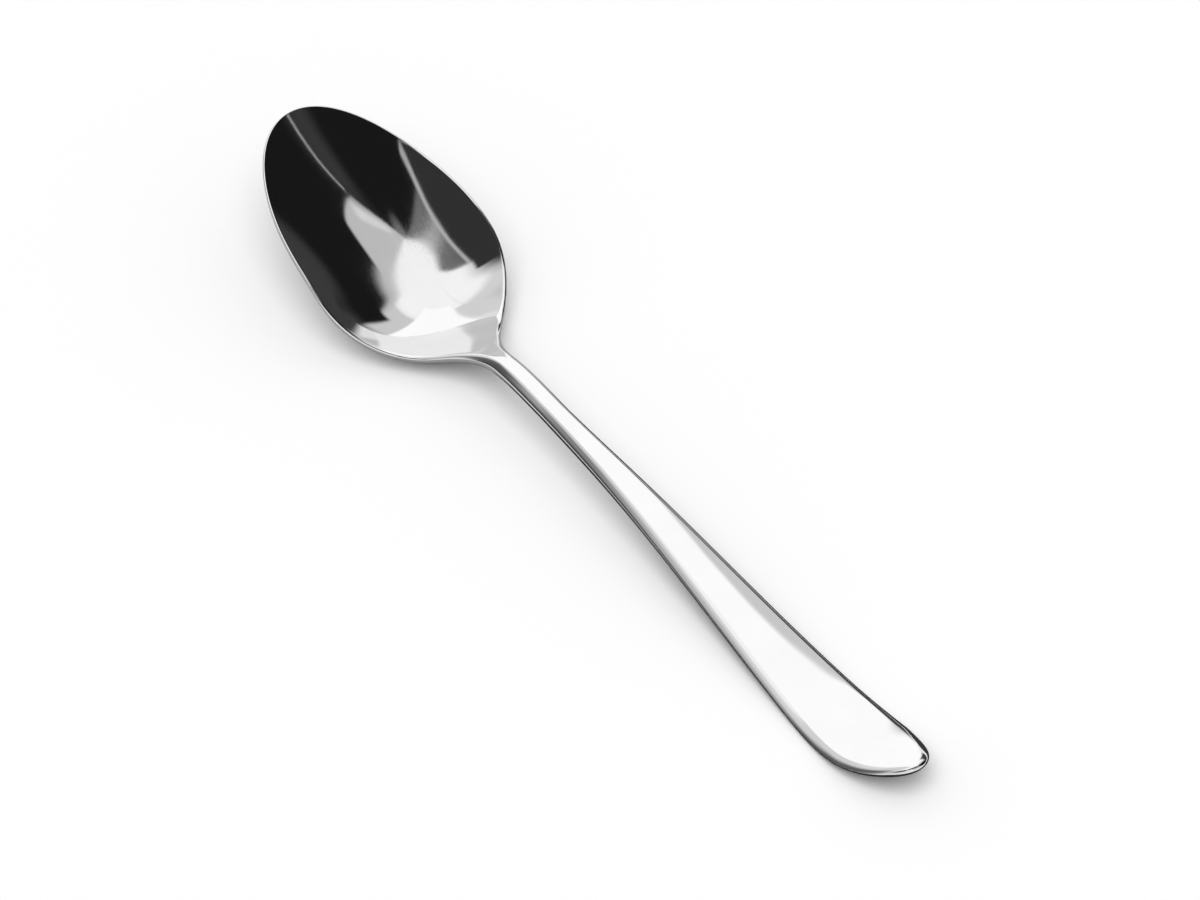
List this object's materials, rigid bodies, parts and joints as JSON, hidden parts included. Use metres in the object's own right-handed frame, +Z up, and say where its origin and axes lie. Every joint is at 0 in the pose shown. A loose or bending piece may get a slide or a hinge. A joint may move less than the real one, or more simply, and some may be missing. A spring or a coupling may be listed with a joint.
{
  "type": "soup spoon",
  "caption": "Soup spoon of polished stainless steel with a drawn oval bowl, a slender neck and a handle that flares to a rounded, upturned end.",
  "frame": {"origin": "On the table, under the middle of the spoon's box, midway along and across it", "axes": "+X along the spoon from the bowl to the end of the handle, +Z up off the table, +Y to the left when looking along +X"},
  "size_m": [0.1965, 0.0384, 0.0222],
  "materials": {
    "bowl_steel": "stainless steel, mirror polished",
    "handle_steel": "stainless steel, mirror polished"
  },
  "bodies": {
    "root": {"bowl": "bowl_steel", "handle": "handle_steel"}
  },
  "joints": []
}
